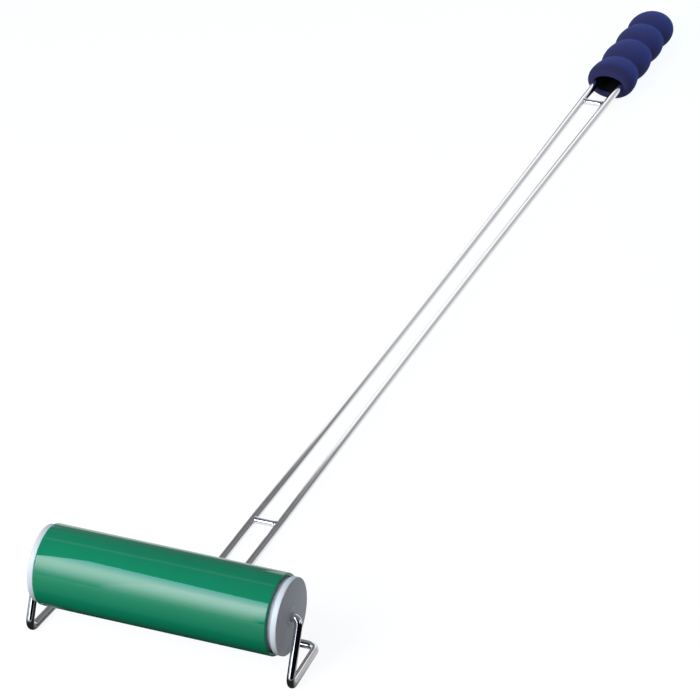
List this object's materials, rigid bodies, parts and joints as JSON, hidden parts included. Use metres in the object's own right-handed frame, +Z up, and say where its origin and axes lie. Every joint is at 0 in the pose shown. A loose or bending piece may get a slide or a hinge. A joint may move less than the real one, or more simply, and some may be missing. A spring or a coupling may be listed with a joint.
{
  "type": "lint roller",
  "caption": "Long-handled lint roller: a sticky sleeve on a plastic core turns in a chromed wire frame that stands on its own feet, with a foam grip at the handle's end.",
  "frame": {"origin": "middle of the part's footprint, on the floor it stands on", "axes": "+X along the roller's axle to the right, +Y back along the handle to the grip, +Z up"},
  "size_m": [0.1736, 0.9134, 0.0669],
  "materials": {
    "sleeve": "gloss",
    "core": "satin",
    "cap": "satin",
    "wire": "polished",
    "foam": "matte"
  },
  "bodies": {
    "frame": {"right_wire": "wire", "left_wire": "wire", "lower_cross_bar": "wire", "upper_cross_bar": "wire", "grip": "foam"},
    "roller": {"adhesive_sleeve": "sleeve", "core_tube": "core", "right_end_cap": "cap", "left_end_cap": "cap"}
  },
  "joints": [
    {"name": "roller_spin", "type": "hinge", "parent": "frame", "child": "roller", "pos_m": [0, -0.43165, 0.0419], "axis": [1, 0, 0], "continuous": true}
  ]
}
